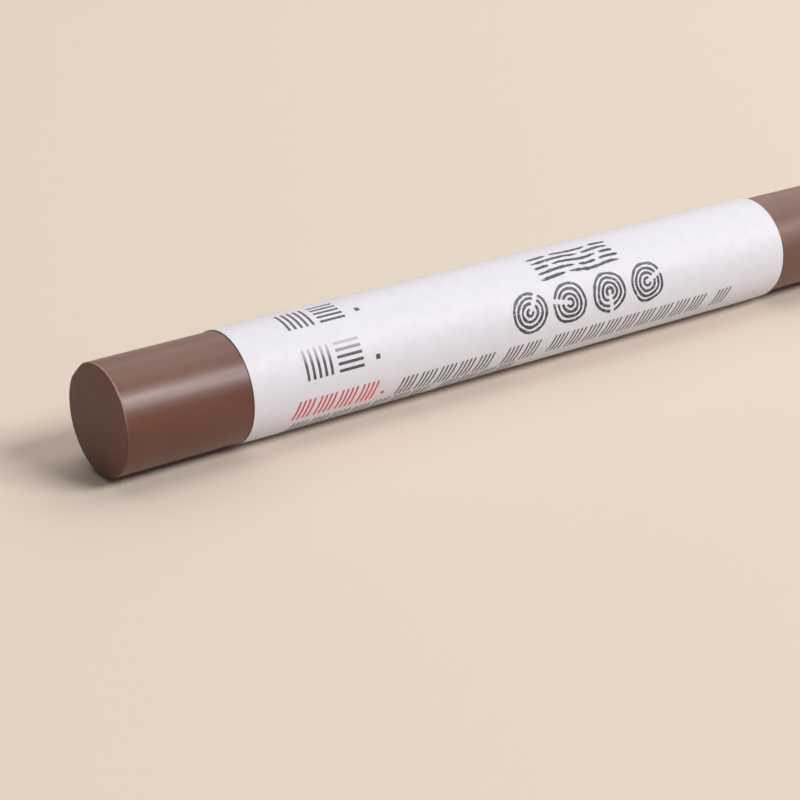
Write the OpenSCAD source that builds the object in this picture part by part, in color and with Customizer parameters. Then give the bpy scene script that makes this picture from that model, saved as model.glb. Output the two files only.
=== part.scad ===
// Furniture repair wax stick: a round bar of pigmented wax in a paper label.
// The label is one strip wrapped round the bar and pasted to itself along a lap at the back.
// Millimetres. The stick lies along X on the plane z = 0, with its middle over the origin.

/* [Wax stick] */
// Length of the wax from end to end
wax_l = 95.5; // [80:0.5:140]
// Diameter of the wax
wax_d = 11; // [8:0.1:16]
// Radius that rounds the rim of each end
rim_r = 0.25; // [0.1:0.05:1]

/* [Paper label] */
// Length of the label along the stick
label_l = 68.5; // [30:0.5:80]
// Thickness of the paper
paper_t = 0.09; // [0.06:0.01:0.2]
// Gap all round between the wax and the paper that it slides in
slide_gap = 0.09; // [0.03:0.01:0.1]
// Width of the lap, measured round its outside
lap_w = 5; // [3:0.25:7]
// Place of the strip's inner edge, in degrees from straight below and round by the back
seam_angle = 135; // [100:5:160]

/* [Seam glue] */
// Thickness of the line of paste in the lap
glue_t = 0.02; // [0.01:0.01:0.05]
// Distance that the paste keeps from every edge of the lap
glue_margin = 0.6; // [0.2:0.1:1]

/* [Hidden] */
$fn = 96;

wax_r = wax_d / 2;
half_turn = 180;

// The paper's two layers, from the wax outwards
inner_r = wax_r + slide_gap;
inner_out_r = inner_r + paper_t;
flap_r = inner_out_r + glue_t;
flap_out_r = flap_r + paper_t;

// The flap springs from the wrap at a faint crease, rises as a flat stretch and clears the
// strip's inner edge by the paste's thickness. Its flat faces lie at these distances from the axis.
rise_out_d = inner_r + paper_t / 2;
rise_in_d = rise_out_d - paper_t;
rise_angle = acos(rise_in_d / flap_r);

// The lap runs from the inner edge towards the bench
lap_angle = lap_w / flap_out_r * half_turn / PI;
lap_end = seam_angle - lap_angle;

// The paste stays inside the lap by the same distance on all four sides
glue_margin_angle = glue_margin / flap_r * half_turn / PI;
glue_l = label_l - 2 * glue_margin;

// Wedge corners lie this far out, clear of every face of the paper
wedge_r = 2 * flap_out_r;

// Point at a radius and an angle in the label's section
function polar(r, angle) = [r * cos(angle), r * sin(angle)];

// Lays a shape that was made round Z along X: angle 0 then points straight down, 90 to the back
module lay_along_x() {
    translate([0, 0, inner_out_r])
        rotate([0, 90, 0])
            children();
}

// Slice of a disc from one angle to the next
module disc_slice(r, from_angle, to_angle) {
    intersection() {
        circle(r = r);
        polygon([
            [0, 0],
            polar(wedge_r, from_angle),
            polar(wedge_r, (from_angle + to_angle) / 2),
            polar(wedge_r, to_angle)
        ]);
    }
}

// Everything inside one face of the flap: a disc's edge over the lap, and a flat over the rise
module inside_flap(r, flat_d, from_angle) {
    intersection() {
        circle(r = r);
        polygon([
            [0, 0],
            polar(wedge_r, from_angle),
            polar(flat_d / cos(rise_angle + lap_angle / 2), seam_angle - lap_angle / 2),
            polar(flat_d, seam_angle + rise_angle)
        ]);
    }
}

// Section of the strip: once round the wax, up over its own edge and on to the end of the lap
module label_section() {
    difference() {
        union() {
            circle(r = inner_out_r);
            inside_flap(flap_out_r, rise_out_d, lap_end);
        }
        circle(r = inner_r);
        difference() {
            inside_flap(flap_r, rise_in_d, lap_end - rise_angle);
            disc_slice(inner_out_r, lap_end - 2 * rise_angle, seam_angle);
        }
    }
}

// Bar of wax with flat ends and rounded rims
module wax_stick() {
    color([0.38, 0.24, 0.19])
        lay_along_x()
            rotate_extrude() {
                translate([0, -wax_l / 2])
                    square([wax_r - rim_r, wax_l]);
                translate([0, rim_r - wax_l / 2])
                    square([wax_r, wax_l - 2 * rim_r]);
                for (side = [-1, 1])
                    translate([wax_r - rim_r, side * (wax_l / 2 - rim_r)])
                        circle(r = rim_r);
            }
}

// Paper label, cut square at both ends
module paper_label() {
    color([0.93, 0.93, 0.95])
        lay_along_x()
            linear_extrude(height = label_l, center = true)
                label_section();
}

// Line of dried paste between the two layers of the lap
module seam_glue() {
    color([0.86, 0.82, 0.7])
        lay_along_x()
            linear_extrude(height = glue_l, center = true)
                difference() {
                    disc_slice(flap_r, lap_end + glue_margin_angle, seam_angle - glue_margin_angle);
                    circle(r = inner_out_r);
                }
}

wax_stick();
paper_label();
seam_glue();
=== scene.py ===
# Furniture repair wax stick: the finished looks of a round bar of brown wax in its paper label.
import math

import bmesh
import bpy
from mathutils import Color, Euler, Matrix, Vector, noise


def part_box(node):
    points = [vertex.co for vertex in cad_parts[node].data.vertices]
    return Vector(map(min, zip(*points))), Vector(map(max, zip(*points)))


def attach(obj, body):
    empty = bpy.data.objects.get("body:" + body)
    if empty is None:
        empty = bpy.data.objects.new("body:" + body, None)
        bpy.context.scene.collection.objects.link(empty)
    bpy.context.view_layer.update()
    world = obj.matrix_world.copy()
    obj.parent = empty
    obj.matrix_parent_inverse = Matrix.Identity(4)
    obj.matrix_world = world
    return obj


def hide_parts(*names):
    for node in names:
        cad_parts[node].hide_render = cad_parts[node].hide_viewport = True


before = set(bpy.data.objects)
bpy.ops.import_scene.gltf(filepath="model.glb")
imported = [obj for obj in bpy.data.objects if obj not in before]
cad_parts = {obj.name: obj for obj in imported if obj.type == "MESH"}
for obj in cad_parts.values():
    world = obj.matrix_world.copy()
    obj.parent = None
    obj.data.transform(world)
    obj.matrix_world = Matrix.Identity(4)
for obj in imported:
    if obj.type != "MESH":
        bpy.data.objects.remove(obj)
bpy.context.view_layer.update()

# Wax stick
# Paraffin wax with brown pigment and filler, cast as a round bar and cut nearly square at both ends.
# Its ends are bare, and it is pushed along in its label as it is used up. One place on the near rim
# is rubbed flat, and the far half is a little slimmer than the rest. Towards the far end its colour is
# painted paler, as painted light.
MM = 0.001
wax_low, wax_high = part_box("wax_stick")
wax_half_length = (wax_high.x - wax_low.x) / 2
wax_radius = (wax_high.z - wax_low.z) / 2
axis_height = (wax_high.z + wax_low.z) / 2
rim_radius = 0.1 * MM
rim_steps = 8
rim_hold = 0.2 * MM
face_rings = 12
barrel_rings = 120
turn_steps = 224
merge_distance = 0.001 * MM
least_cut_facing = 0.95
cast_dent = 0.02 * MM
cast_dent_pitch = 14 * MM
rim_wear = 0.03 * MM
rim_wear_reach = 0.5 * MM
rim_wear_pitch = 3 * MM
face_dent = 0.012 * MM
face_dent_pitch = 4 * MM
cut_lean = 0.2 * MM
lean_reach = 2.4 * MM
lean_power = 4
lean_angle = math.radians(75)
lean_side = Vector((0, -math.cos(lean_angle), math.sin(lean_angle)))
rubbed_depth = 0.2 * MM
rubbed_reach = 1.6 * MM
rubbed_blend = 0.08 * MM
rubbed_angle = math.radians(45)
rubbed_side = Vector((0, math.cos(rubbed_angle), math.sin(rubbed_angle)))
far_slimness = 0.25 * MM


def dent(place, pitch):
    """Smooth chance value from 0 to 1 at a place, with hollows about a pitch apart"""
    return 0.5 + 0.5 * noise.noise(place / pitch)


bar = bmesh.new()
outline_places = (
    (-wax_half_length, 0),
    (-wax_half_length, wax_radius - rim_hold),
    (-wax_half_length, wax_radius),
    (rim_hold - wax_half_length, wax_radius),
    (wax_half_length - rim_hold, wax_radius),
    (wax_half_length, wax_radius),
    (wax_half_length, wax_radius - rim_hold),
    (wax_half_length, 0),
)
outline = [bar.verts.new((x, 0, r)) for x, r in outline_places]
for pair in zip(outline, outline[1:]):
    bar.edges.new(pair)
rim_corners = [outline[2], outline[5]]
bmesh.ops.bevel(
    bar,
    geom=rim_corners,
    offset=rim_radius,
    segments=rim_steps,
    profile=0.5,
    affect="VERTICES",
    material=-1,
)
by_length = sorted(bar.edges, key=lambda edge: edge.calc_length())
barrel_edges = by_length[-1:]
cut_edges = by_length[-3:-1]
bmesh.ops.subdivide_edges(bar, edges=barrel_edges, cuts=barrel_rings)
bmesh.ops.subdivide_edges(bar, edges=cut_edges, cuts=face_rings)
bmesh.ops.spin(
    bar,
    geom=bar.verts[:] + bar.edges[:],
    cent=(0, 0, 0),
    axis=(1, 0, 0),
    dvec=(0, 0, 0),
    angle=math.tau,
    steps=turn_steps,
    use_merge=True,
)
bmesh.ops.remove_doubles(bar, verts=bar.verts, dist=merge_distance)
bmesh.ops.recalc_face_normals(bar, faces=bar.faces)
side_slot, cut_slot, rim_slot = range(3)
for face in bar.faces:
    on_cut = abs(face.normal.x) > least_cut_facing
    near_rim = abs(face.calc_center_median().x) > wax_half_length - rim_hold
    face.material_index = cut_slot if on_cut else rim_slot if near_rim else side_slot
for vert in bar.verts:
    from_axis = Vector((0, vert.co.y, vert.co.z))
    from_end = wax_half_length - abs(vert.co.x)
    rim_share = max(0, 1 - from_end / rim_wear_reach)
    worn = cast_dent * dent(vert.co, cast_dent_pitch)
    worn += rim_wear * rim_share * dent(vert.co, rim_wear_pitch)
    worn += far_slimness * max(0, vert.co.x / wax_half_length)
    lean = cut_lean * (0.5 + 0.5 * vert.co.dot(lean_side) / wax_radius) ** lean_power
    depth = lean * max(0, 1 - from_end / lean_reach)
    if from_end < rim_radius + merge_distance:
        depth += face_dent * dent(vert.co, face_dent_pitch)
    vert.co.x -= math.copysign(depth, vert.co.x)
    vert.co -= from_axis * worn / wax_radius
    if vert.co.x < 0:
        rubbed_off = rubbed_depth * max(0, 1 - from_end / rubbed_reach)
        proud = vert.co.dot(rubbed_side) - (wax_radius - rubbed_off)
        vert.co -= rubbed_side * (proud + math.hypot(proud, rubbed_blend)) / 2
bmesh.ops.translate(bar, verts=bar.verts, vec=(0, 0, axis_height))

crease_angle = math.radians(40)


def make_piece(name, shape, materials, body):
    """Object at the origin that has this bmesh and these materials and rides on a body"""
    for face in shape.faces:
        face.smooth = True
    for edge in shape.edges:
        edge.smooth = edge.calc_face_angle(0) < crease_angle
    mesh = bpy.data.meshes.new(name)
    shape.to_mesh(mesh)
    shape.free()
    for material in materials:
        mesh.materials.append(material)
    piece = bpy.data.objects.new(name, mesh)
    bpy.context.scene.collection.objects.link(piece)
    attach(piece, body)
    return piece


def colour(red, green, blue):
    """Linear colour from the 0 to 255 values that the eye sees"""
    seen = Color((red / 255, green / 255, blue / 255))
    return (*seen.from_srgb_to_scene_linear(), 1)


def start_material(name):
    """New material, with its node tree and its shader"""
    material = bpy.data.materials.new(name)
    material.use_nodes = True
    tree = material.node_tree
    return material, tree, tree.nodes["Principled BSDF"]


def add_node(tree, kind, inputs, **settings):
    """New node with these settings, and its inputs linked to sockets or set to values"""
    node = tree.nodes.new(kind)
    for name, value in settings.items():
        setattr(node, name, value)
    enabled = [socket for socket in node.inputs if socket.enabled]
    for name, value in inputs.items():
        socket = next(socket for socket in enabled if socket.name == name)
        if isinstance(value, bpy.types.NodeSocket):
            tree.links.new(value, socket)
        else:
            socket.default_value = value
    return node


def add_noise(tree, coordinates, scale, stretch=(1, 1, 1), detail=3, roughness=0.5):
    """Noise on coordinates, nearly all of it in noise_span, with stretch for streaks"""
    mapping = add_node(tree, "ShaderNodeMapping", {"Vector": coordinates, "Scale": stretch})
    inputs = {
        "Vector": mapping.outputs["Vector"],
        "Scale": scale,
        "Detail": detail,
        "Roughness": roughness,
    }
    return add_node(tree, "ShaderNodeTexNoise", inputs).outputs["Fac"]


def add_range(tree, value, low, high, low_value, high_value):
    """A value from low to high, changed to one from low_value to high_value"""
    inputs = {
        "Value": value,
        "From Min": low,
        "From Max": high,
        "To Min": low_value,
        "To Max": high_value,
    }
    return add_node(tree, "ShaderNodeMapRange", inputs).outputs["Result"]


def add_mix(tree, share, first, second):
    """Colour that goes from the first to the second with a share from 0 to 1"""
    inputs = {"Factor": share, "A": first, "B": second}
    mix = add_node(tree, "ShaderNodeMix", inputs, data_type="RGBA")
    return next(socket for socket in mix.outputs if socket.enabled)


def add_bump(tree, height, depth, strength, below=None):
    """Normal with fine relief of that depth in metres, on top of another normal"""
    inputs = {"Height": height, "Distance": depth, "Strength": strength}
    if below is not None:
        inputs["Normal"] = below
    return add_node(tree, "ShaderNodeBump", inputs).outputs["Normal"]


noise_span = (0.3, 0.7)
middle_span = (0.35, 0.65)
firm_relief = 0.6
soft_relief = 0.5
wax_dark = colour(88, 47, 34)
wax_light = colour(96, 54, 40)
cloud_scale = 130
# Paler colour painted on towards the far end: painted light, standing in for the extra light that falls
# there.
painted_far_light = colour(150, 118, 106)
painted_far_light_weight = 0.16
wax_speck = colour(80, 43, 32)
speck_scale = 3200
speck_span = (0.58, 0.72)
speck_weight = 0.5
speck_depth = 0.003 * MM
streak_span = (0.5, 0.75)
streak_weight = 0.3
# Rim colour, partly scuffing and partly a painted highlight: it is painted paler from the axis's level
# up towards the top.
scuff_and_highlight_dark = colour(130, 99, 87)
scuff_and_highlight_light = colour(152, 124, 112)
highlight_rise_share = 0.75
highlight_low = axis_height
highlight_high = axis_height + highlight_rise_share * wax_radius
haze_tint = colour(255, 232, 222)


def wax_material(name, streak_stretch, streak_depth, roughness_span, scuffed_and_highlighted=False):
    """Satin pigmented wax with a faint haze: clouds, fine specks and streaks along one direction"""
    material, tree, shader = start_material(name)
    place = add_node(tree, "ShaderNodeTexCoord", {}).outputs["Object"]
    axes = add_node(tree, "ShaderNodeSeparateXYZ", {"Vector": place}).outputs
    clouds = add_noise(tree, place, cloud_scale)
    specks = add_noise(tree, place, speck_scale, detail=2)
    streaks = add_noise(tree, place, 1, stretch=streak_stretch, detail=4)
    cloud_share = add_range(tree, clouds, *middle_span, 0, 1)
    # Painted light: the colour pales from the middle of the bar towards the far end.
    painted_far_light_share = add_range(tree, axes["X"], 0, wax_half_length, 0, painted_far_light_weight)
    speck_share = add_range(tree, specks, *speck_span, 0, speck_weight)
    streak_share = add_range(tree, streaks, *streak_span, 0, streak_weight)
    base = add_mix(tree, cloud_share, wax_dark, wax_light)
    base = add_mix(tree, painted_far_light_share, base, painted_far_light)
    if scuffed_and_highlighted:
        # Painted highlight on the rims, growing paler towards the top of the bar.
        highlight_share = add_range(tree, axes["Z"], highlight_low, highlight_high, 0, 1)
        scuff_and_highlight = add_mix(tree, cloud_share, scuff_and_highlight_dark, scuff_and_highlight_light)
        base = add_mix(tree, highlight_share, base, scuff_and_highlight)
    base = add_mix(tree, speck_share, base, wax_speck)
    base = add_mix(tree, streak_share, base, wax_light)
    smear = add_range(tree, streaks, *noise_span, *roughness_span)
    relief = add_bump(tree, streaks, streak_depth, firm_relief)
    relief = add_bump(tree, specks, speck_depth, soft_relief, below=relief)
    tree.links.new(base, shader.inputs["Base Color"])
    tree.links.new(smear, shader.inputs["Roughness"])
    tree.links.new(relief, shader.inputs["Normal"])
    shader.inputs["IOR"].default_value = 1.5
    shader.inputs["Sheen Weight"].default_value = 0.12
    shader.inputs["Sheen Roughness"].default_value = 0.45
    shader.inputs["Sheen Tint"].default_value = haze_tint
    return material


along_bar = (60, 1400, 1400)
across_cut = (1500, 1500, 160)
wax_side = wax_material("cast_wax", along_bar, streak_depth=0.008 * MM, roughness_span=(0.34, 0.42))
wax_cut = wax_material("cut_wax", across_cut, streak_depth=0.003 * MM, roughness_span=(0.46, 0.54))
wax_rim = wax_material(
    "rim_wax_painted_highlight",
    across_cut,
    streak_depth=0.01 * MM,
    roughness_span=(0.5, 0.6),
    scuffed_and_highlighted=True,
)
wax_bar = make_piece("wax_bar", bar, [wax_side, wax_cut, wax_rim], "wax")
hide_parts("wax_stick")

# Paper label
# A strip of smooth white printing paper, cut square and printed flat.
# It is wrapped once round the wax and pasted to itself along a lap at the back.
label_low, label_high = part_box("paper_label")
label_length = label_high.x - label_low.x
label_near_end = label_low.x
wrap_radius = (label_high.z - label_low.z) / 2
paper_thickness = 0.07 * MM
paper_inset = 0.055 * MM
paste_gap = 0.02 * MM
lap_step = paper_thickness + paste_gap
lap_width = 5 * MM
lap_turn = lap_width / label_high.y
seam_angle = math.radians(135)
rise_start = math.tau - math.radians(20)
rise_end = math.tau - math.radians(1)
strip_width = wrap_radius * (math.tau + lap_turn)
strip_cells = (160, 220)
ripple_depth = 0.02 * MM
ripple_pitch = 9 * MM
ripple_fade_turn = 1
end_cling = 0.045 * MM
cling_reach = 3 * MM
edge_lift = 0.06 * MM
edge_reach = 0.8 * MM


def smooth_share(value, start, end):
    """Share from 0 at start to 1 at end, with an easy slope at both"""
    share = min(1, max(0, (value - start) / (end - start)))
    return share * share * (3 - 2 * share)


def wrap(shape):
    """Wraps a shape that lies flat on the strip round the wax, where x runs along the stick,
    y round it from the strip's inner edge, and z up from the paper's inner face"""
    for vert in shape.verts:
        along, travel, above = vert.co
        turn = travel / wrap_radius
        lift = lap_step * smooth_share(turn, rise_start, rise_end)
        lift += edge_lift * smooth_share(travel, strip_width - edge_reach, strip_width)
        cling_share = smooth_share(abs(along), label_length / 2 - cling_reach, label_length / 2)
        single_share = smooth_share(turn, lap_turn, 2 * lap_turn)
        single_share -= smooth_share(turn, rise_start - ripple_fade_turn, rise_start)
        ripple = ripple_depth * single_share * dent(Vector((along, travel, 0)), ripple_pitch)
        inward = paper_inset + end_cling * cling_share + ripple * (1 - cling_share)
        radius = wrap_radius - paper_thickness - inward + lift + above
        angle = seam_angle - turn
        vert.co = (along, radius * math.sin(angle), axis_height - radius * math.cos(angle))
    bmesh.ops.recalc_face_normals(shape, faces=shape.faces)


def map_flat(shape):
    """Stores each corner's place on the flat strip, as a share of the label's length"""
    flat_map = shape.loops.layers.uv.new("flat_strip")
    for face in shape.faces:
        for loop in face.loops:
            place = loop.vert.co / label_length
            loop[flat_map].uv = (place.x + 0.5, place.y)


strip = bmesh.new()
strip_middle = Matrix.Translation((0, strip_width / 2, paper_thickness))
strip_size = Matrix.Diagonal((label_length, strip_width, 1, 1))
bmesh.ops.create_grid(
    strip,
    x_segments=strip_cells[0],
    y_segments=strip_cells[1],
    size=0.5,
    matrix=strip_middle @ strip_size,
)
bmesh.ops.solidify(strip, geom=strip.faces[:], thickness=paper_thickness)
map_flat(strip)
wrap(strip)

paper_white = colour(219, 218, 227)
paper_shade = colour(214, 213, 222)
formation_scale = 55
formation_weight = 0.7
fibre_stretch = (190, 900, 1)
fibre_span = (0.55, 0.75)
fibre_weight = 0.5
tooth_scale = 700
paper_tooth = 0.004 * MM
paper_roughness = (0.5, 0.6)
paper_material, tree, shader = start_material("label_paper")
flat = add_node(tree, "ShaderNodeUVMap", {}, uv_map="flat_strip").outputs["UV"]
formation = add_noise(tree, flat, formation_scale, detail=4)
fibres = add_noise(tree, flat, 1, stretch=fibre_stretch, detail=3)
tooth = add_noise(tree, flat, tooth_scale, detail=2)
cloud_share = add_range(tree, formation, *middle_span, 0, formation_weight)
fibre_share = add_range(tree, fibres, *fibre_span, 0, fibre_weight)
clouded = add_mix(tree, cloud_share, paper_white, paper_shade)
fibrous = add_mix(tree, fibre_share, clouded, paper_shade)
smoothness = add_range(tree, formation, *noise_span, *paper_roughness)
relief = add_bump(tree, tooth, paper_tooth, firm_relief)
relief = add_bump(tree, fibres, paper_tooth, soft_relief, below=relief)
tree.links.new(fibrous, shader.inputs["Base Color"])
tree.links.new(smoothness, shader.inputs["Roughness"])
tree.links.new(relief, shader.inputs["Normal"])
label_strip = make_piece("label_strip", strip, [paper_material], "sleeve")
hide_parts("paper_label")

# Paste in the lap
# A line of starch paste brushed between the two layers of the lap and pressed thin.
# It has dried clear of the paper's edges, so only its own wavy outline is left between them.
paste_low, paste_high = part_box("seam_glue")
paste_length = paste_high.x - paste_low.x
paste_margin = 0.6 * MM
paste_fill_share = 0.7
paste_thickness = paste_fill_share * paste_gap
paste_width = lap_width - 2 * paste_margin
paste_wave = 0.25 * MM
paste_wave_pitch = 2.5 * MM
paste_cells = (120, 8)

paste_line = bmesh.new()
paste_middle = Matrix.Translation((0, lap_width / 2, paper_thickness + paste_thickness))
paste_size = Matrix.Diagonal((paste_length - 2 * paste_wave, paste_width, 1, 1))
bmesh.ops.create_grid(
    paste_line,
    x_segments=paste_cells[0],
    y_segments=paste_cells[1],
    size=0.5,
    matrix=paste_middle @ paste_size,
)
for vert in paste_line.verts:
    side_share = (vert.co.y - lap_width / 2) / paste_width
    vert.co.y -= paste_wave * side_share * dent(vert.co, paste_wave_pitch)
bmesh.ops.solidify(paste_line, geom=paste_line.faces[:], thickness=paste_thickness)
map_flat(paste_line)
wrap(paste_line)

paste_pale = colour(226, 216, 190)
paste_deep = colour(208, 194, 158)
brush_stretch = (20, 160, 1)
brush_depth = 0.005 * MM
paste_roughness = (0.3, 0.5)
paste_material, tree, shader = start_material("dried_paste")
flat = add_node(tree, "ShaderNodeUVMap", {}, uv_map="flat_strip").outputs["UV"]
brushed = add_noise(tree, flat, 1, stretch=brush_stretch, detail=3)
brush_share = add_range(tree, brushed, *noise_span, 0, 1)
gloss = add_range(tree, brushed, *noise_span, *paste_roughness)
tree.links.new(add_mix(tree, brush_share, paste_pale, paste_deep), shader.inputs["Base Color"])
tree.links.new(gloss, shader.inputs["Roughness"])
tree.links.new(add_bump(tree, brushed, brush_depth, soft_relief), shader.inputs["Normal"])
lap_paste = make_piece("lap_paste", paste_line, [paste_material], "sleeve")
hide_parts("seam_glue")

# Captions
# Two rows of parquet cells in black ink, printed on the strip before it is cut and wrapped.
# The ink is a thin film on the paper, and the lower row is paler along a band near its top: partly
# rubbed where the stick is held, partly a painted highlight where the key light's sheen falls.
front_level = wrap_radius * (seam_angle + math.pi / 2)
ink_film = 0.006 * MM
ink_bite = 0.002 * MM
ink_cell = 0.12 * MM
least_cells = 2


def add_stroke(sheet, along, up, width, height, slant=0):
    """Flat stroke of ink, placed by its middle along the label and up from the axis's level"""
    middle = (label_near_end + along, front_level + up, paper_thickness + ink_film - ink_bite)
    size = Matrix.Diagonal((width, height, 1, 1))
    lean = Matrix.Shear("XZ", 4, (slant, 0))
    made = bmesh.ops.create_grid(
        sheet,
        x_segments=max(least_cells, round(width / ink_cell)),
        y_segments=max(least_cells, round(height / ink_cell)),
        size=0.5,
        matrix=Matrix.Translation(middle) @ lean @ size,
    )
    return made["verts"]


def add_hatch(sheet, start, end, low, high, strokes, stroke_width, slant=0):
    """Block of upright or slanting strokes, side by side from start to end"""
    pitch = (end - start - stroke_width) / (strokes - 1)
    for index in range(strokes):
        along = start + stroke_width / 2 + index * pitch
        add_stroke(sheet, along, (low + high) / 2, stroke_width, high - low, slant)


def add_bars(sheet, start, end, low, high, bars, bar_height):
    """Block of level bars, one above the other from low to high"""
    pitch = (high - low - bar_height) / (bars - 1)
    for index in range(bars):
        up = low + bar_height / 2 + index * pitch
        add_stroke(sheet, (start + end) / 2, up, end - start, bar_height)


def finish_print(name, sheet, material):
    """Gives flat strokes their film of ink, wraps them with the label and makes their piece"""
    bmesh.ops.solidify(sheet, geom=sheet.faces[:], thickness=ink_film)
    map_flat(sheet)
    wrap(sheet)
    return make_piece(name, sheet, [material], "sleeve")


def add_math(tree, operation, first, second):
    """Result of one operation on two sockets"""
    node = add_node(tree, "ShaderNodeMath", {"Value": first}, operation=operation)
    tree.links.new(second, node.inputs[1])
    return node.outputs["Value"]


highlight_and_rub_level = (front_level + 4 * MM) / label_length
highlight_and_rub_reach = 1.4 * MM / label_length
thin_patch_size = 4
ink_depth = 0.003 * MM
ink_roughness = (0.42, 0.55)


def ink_material(name, ink, thin_ink, bare_span, patch_scale, highlight_and_rub_paleness=0):
    """Ink film that lets the paper show in patches, and may be paler along a band, partly rubbed and
    partly a painted highlight
    """
    material, tree, shader = start_material(name)
    flat = add_node(tree, "ShaderNodeUVMap", {}, uv_map="flat_strip").outputs["UV"]
    patches = add_noise(tree, flat, patch_scale, detail=4, roughness=0.6)
    weight = add_noise(tree, flat, patch_scale / thin_patch_size, detail=2)
    inked = add_mix(tree, add_range(tree, weight, *middle_span, 0, 1), ink, thin_ink)
    # Paler band: partly rubbed ink, partly a painted highlight of the key light's sheen.
    if highlight_and_rub_paleness:
        level = add_node(tree, "ShaderNodeSeparateXYZ", {"Vector": flat}).outputs["Y"]
        below = add_range(tree, level, highlight_and_rub_level - highlight_and_rub_reach, highlight_and_rub_level, 0, highlight_and_rub_paleness)
        above = add_range(tree, level, highlight_and_rub_level, highlight_and_rub_level + highlight_and_rub_reach, 1, 0)
        inked = add_mix(tree, add_math(tree, "MULTIPLY", below, above), inked, paper_white)
    bare_share = add_range(tree, patches, *bare_span, 0, 1)
    gloss = add_range(tree, patches, *noise_span, *ink_roughness)
    tree.links.new(add_mix(tree, bare_share, inked, paper_white), shader.inputs["Base Color"])
    tree.links.new(gloss, shader.inputs["Roughness"])
    tree.links.new(add_bump(tree, patches, ink_depth, soft_relief), shader.inputs["Normal"])
    return material


caption_rows = ((6.44 * MM, 9.3 * MM), (1 * MM, 4.05 * MM))
caption_hatch = (6 * MM, 9 * MM)
caption_bars = (9.65 * MM, 12.55 * MM)
caption_strokes = 5
caption_stroke = 0.3 * MM
caption_square = 0.5 * MM
caption_square_place = 14.2 * MM
caption_square_rise = 0.6 * MM
captions = bmesh.new()
for low, high in caption_rows:
    add_hatch(captions, *caption_hatch, low, high, caption_strokes, caption_stroke)
    add_bars(captions, *caption_bars, low, high, caption_strokes, caption_stroke)
    square_level = low + caption_square_rise
    add_stroke(captions, caption_square_place, square_level, caption_square, caption_square)
caption_ink = ink_material(
    "caption_ink",
    ink=colour(54, 54, 58),
    thin_ink=colour(72, 72, 78),
    bare_span=(0.66, 0.74),
    patch_scale=300,
    highlight_and_rub_paleness=0.62,
)
finish_print("caption_print", captions, caption_ink)

# Stamp
# A picture of wood, pressed on by hand with a rubber stamp: long grain above, end grain below.
# The ink is heavy and patchy, and its lines swell and thin out.
grain_low = 4.5 * MM
grain_pitch = 0.72 * MM
grain_stroke = 0.36 * MM
grain_wave = 0.35 * MM
grain_wave_pitch = 3.5 * MM
grain_row_likeness = 3
grain_rows_mm = ((3.4, 6.7), (5, 2.3, 2.6), (2, 5.8, 1.8), (6.2, 3.7), (2.6, 4.8, 2.3))
grain_start = 35.7 * MM
grain_break = 0.45 * MM
grain_tip_share = 0.15
grain_taper_power = 6
ring_places = (33.1 * MM, 38.3 * MM, 43.6 * MM, 48.8 * MM)
ring_level = 1.8 * MM
ring_radii = (0.4 * MM, 0.95 * MM, 1.5 * MM, 2.05 * MM)
ring_stroke = 0.32 * MM
ring_wave = 0.16 * MM
ring_wave_pitch = 1.6 * MM
crack_width = 0.5 * MM
first_crack_turn = 1
crack_turn_step = 1.9
swell_share = 0.4
swell_pitch = 0.6 * MM


def add_grain(sheet, start, end, up):
    """Wavy line of long grain that tapers at both ends"""
    for vert in add_stroke(sheet, (start + end) / 2, up, end - start, grain_stroke):
        along = vert.co.x - label_near_end
        across = vert.co.y - front_level - up
        end_share = 2 * (along - start) / (end - start) - 1
        taper = 1 - (1 - grain_tip_share) * end_share ** grain_taper_power
        wave = grain_wave * noise.noise(Vector((along, up / grain_row_likeness, 0)) / grain_wave_pitch)
        swell = 1 + swell_share * noise.noise(vert.co / swell_pitch)
        vert.co.y = front_level + up + wave + across * taper * swell


def add_growth_ring(sheet, along, up, radius, crack_turn):
    """Wavy ring of end grain, open where a crack runs in to the heart of the wood"""
    middle = Vector((label_near_end + along, front_level + up, 0))
    for vert in add_stroke(sheet, along, up, math.tau * radius - crack_width, ring_stroke):
        turn = crack_turn + math.pi - (vert.co.x - middle.x) / radius
        outward = Vector((math.cos(turn), math.sin(turn), 0))
        wave = ring_wave * noise.noise((middle + outward * radius) / ring_wave_pitch)
        swell = 1 + swell_share * noise.noise((middle + outward * radius) / swell_pitch)
        reach = radius + wave + (vert.co.y - middle.y) * swell
        vert.co.x = middle.x + outward.x * reach
        vert.co.y = middle.y + outward.y * reach


stamp = bmesh.new()
for row, lengths in enumerate(grain_rows_mm):
    start = grain_start
    for length in lengths:
        add_grain(stamp, start, start + length * MM, grain_low + (row + 0.5) * grain_pitch)
        start += length * MM + grain_break
for index, along in enumerate(ring_places):
    for radius in ring_radii:
        add_growth_ring(stamp, along, ring_level, radius, first_crack_turn + crack_turn_step * index)
stamp_ink = ink_material(
    "stamp_ink",
    ink=colour(40, 40, 48),
    thin_ink=colour(62, 62, 72),
    bare_span=(0.6, 0.66),
    patch_scale=330,
)
finish_print("stamp_print", stamp, stamp_ink)

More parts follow.
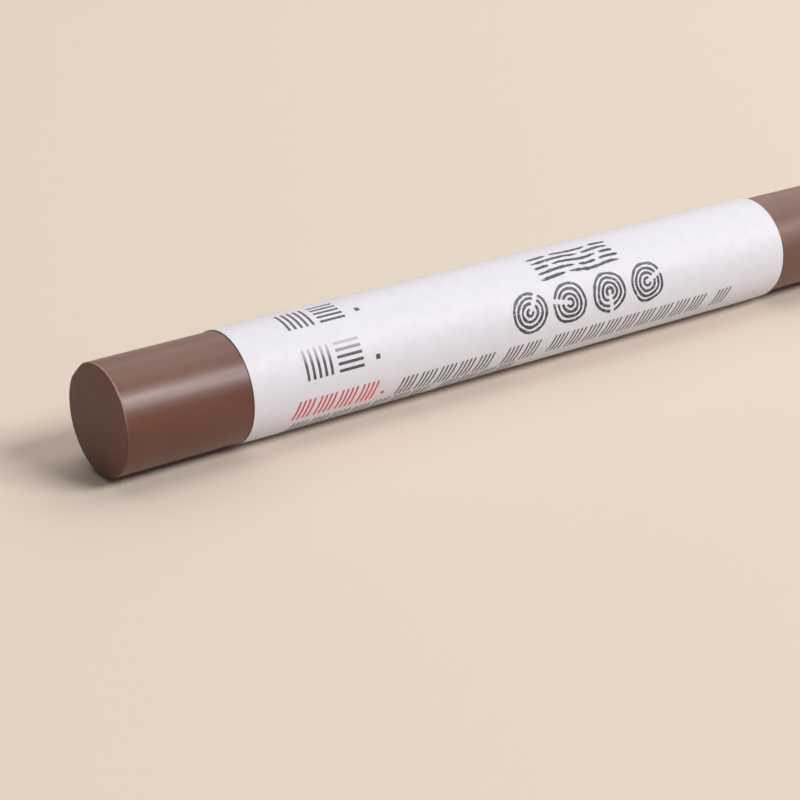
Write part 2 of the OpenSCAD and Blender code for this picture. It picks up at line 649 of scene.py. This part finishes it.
# Heading
# One short row of slanting hatch in red ink, printed with the captions.
# A small square closes the row.
print_slant = 0.3
block_strokes = 4
heading_low = -3.1 * MM
heading_high = -0.9 * MM
heading_start = 4.75 * MM
heading_pitch = 2.45 * MM
heading_blocks = 4
heading_block = 1.9 * MM
heading_stroke = 0.25 * MM
heading_square = 0.4 * MM
heading_square_place = 14.9 * MM
heading_square_level = heading_low + 0.5 * MM
heading = bmesh.new()
for index in range(heading_blocks):
    start = heading_start + index * heading_pitch
    end = start + heading_block
    add_hatch(heading, start, end, heading_low, heading_high, block_strokes, heading_stroke, print_slant)
add_stroke(heading, heading_square_place, heading_square_level, heading_square, heading_square)
heading_ink = ink_material(
    "heading_ink",
    ink=colour(196, 62, 60),
    thin_ink=colour(205, 84, 80),
    bare_span=(0.68, 0.76),
    patch_scale=300,
)
finish_print("heading_print", heading, heading_ink)

# Small print
# Two rows of fine slanting hatch in black ink, set in groups of uneven length.
# The rows run on round the front of the stick towards its underside.
small_height = 2.25 * MM
small_pitch = 2.4 * MM
small_block = 1.8 * MM
small_stroke = 0.22 * MM
small_group_gap = small_pitch / 2
small_rows = ((16.9 * MM, -3.65 * MM, (5, 2, 9, 1)), (4.75 * MM, -6.1 * MM, (7, 4)))
small = bmesh.new()
for start, low, groups in small_rows:
    high = low + small_height
    for blocks in groups:
        for index in range(blocks):
            end = start + small_block
            add_hatch(small, start, end, low, high, block_strokes, small_stroke, print_slant)
            start += small_pitch
        start += small_group_gap
small_ink = ink_material(
    "small_ink",
    ink=colour(62, 60, 64),
    thin_ink=colour(84, 82, 86),
    bare_span=(0.64, 0.74),
    patch_scale=300,
)
finish_print("small_print", small, small_ink)

# Floor
# A plain pale sheet that the stick lies on.
# Further off it runs out into the plain backdrop behind it, with no edge between them.
floor_size = 8
floor_colour = colour(223, 209, 195)
backdrop_colour = colour(228, 214, 201)
fade_start = 0.12
fade_end = 0.55
floor_shape = bmesh.new()
bmesh.ops.create_grid(floor_shape, x_segments=1, y_segments=1, size=floor_size / 2)
floor_mesh = bpy.data.meshes.new("floor")
floor_shape.to_mesh(floor_mesh)
floor_shape.free()
floor = bpy.data.objects.new("floor", floor_mesh)
bpy.context.scene.collection.objects.link(floor)


def add_seen(tree):
    """1 for what the camera sees, straight or in a reflection, and 0 for light on the stick"""
    path = add_node(tree, "ShaderNodeLightPath", {})
    seen = path.outputs["Is Camera Ray"]
    for ray in ("Is Glossy Ray", "Is Transmission Ray"):
        seen = add_math(tree, "MAXIMUM", seen, path.outputs[ray])
    return seen


floor_material, tree, shader = start_material("floor")
shader.inputs["Base Color"].default_value = floor_colour
shader.inputs["Roughness"].default_value = 0.7
shader.inputs["Specular IOR Level"].default_value = 0.2
place = add_node(tree, "ShaderNodeTexCoord", {}).outputs["Object"]
distance = add_node(tree, "ShaderNodeVectorMath", {"Vector": place}, operation="LENGTH")
inputs = {"Value": distance.outputs["Value"], "From Min": fade_start, "From Max": fade_end}
far_share = add_node(tree, "ShaderNodeMapRange", inputs, interpolation_type="SMOOTHERSTEP")
faded = add_math(tree, "MULTIPLY", far_share.outputs["Result"], add_seen(tree))
backdrop = add_node(tree, "ShaderNodeEmission", {"Color": backdrop_colour})
surface = add_node(tree, "ShaderNodeMixShader", {"Fac": faded})
tree.links.new(shader.outputs["BSDF"], surface.inputs[1])
tree.links.new(backdrop.outputs["Emission"], surface.inputs[2])
tree.links.new(surface.outputs["Shader"], tree.nodes["Material Output"].inputs["Surface"])
floor_mesh.materials.append(floor_material)

# Light
# Soft studio light in an evenly lit room: a key softbox to the front, two weak ones on the right,
# a wide one overhead and two behind the stick.
scene = bpy.context.scene
scene.view_settings.view_transform = "Standard"
room_light = colour(94, 94, 94)
world = bpy.data.worlds.new("room")
world.use_nodes = True
scene.world = world
tree = world.node_tree
background = tree.nodes["Background"]
tree.links.new(add_mix(tree, add_seen(tree), room_light, backdrop_colour), background.inputs["Color"])
softbox_distance = 2


def add_softbox(name, direction, length, height, radiance, tint=(1, 1, 1)):
    """Softbox that faces the stick, with its length along the stick"""
    away = Vector(direction).normalized()
    stick = Vector((1, 0, 0))
    along = (stick - away * stick.dot(away)).normalized()
    lamp = bpy.data.lights.new(name, "AREA")
    lamp.shape = "RECTANGLE"
    lamp.size = length
    lamp.size_y = height
    lamp.energy = radiance * math.pi * length * height
    lamp.color = tint
    softbox = bpy.data.objects.new(name, lamp)
    scene.collection.objects.link(softbox)
    softbox.matrix_world = Matrix((along, away.cross(along), away)).transposed().to_4x4()
    softbox.location = away * softbox_distance


warm = (1, 0.97, 0.93)
add_softbox("key_softbox", (0.42, -0.63, 0.655), 0.9, 0.65, 16.8)
add_softbox("right_front_softbox", (0.8, -0.55, 0.25), 1.2, 0.9, 1.25)
add_softbox("right_softbox", (0.85, -0.15, 0.5), 1.1, 0.9, 0.7)
add_softbox("overhead_softbox", (0.35, 0.1, 0.93), 2, 1.1, 2, warm)
add_softbox("back_softbox", (0.25, 0.62, 0.74), 1.8, 0.9, 1.2, warm)
add_softbox("back_right_softbox", (0.7, 0.5, 0.5), 1.35, 1.1, 0.6, warm)

# Camera
# A long lens, less than an arm's length from the stick.
# It looks down on the near end from the left, and the far end runs out of the picture.
camera_place = (-0.13455, -0.16667, 0.08707)
camera_tilt = math.radians(66.89)
camera_turn = math.radians(-35.98)
camera_data = bpy.data.cameras.new("camera")
camera_data.lens = 99.83
camera_data.sensor_width = 36
camera_data.clip_start = 0.01
camera = bpy.data.objects.new("camera", camera_data)
camera.location = camera_place
camera.rotation_euler = Euler((camera_tilt, 0, camera_turn))
scene.collection.objects.link(camera)
scene.camera = camera
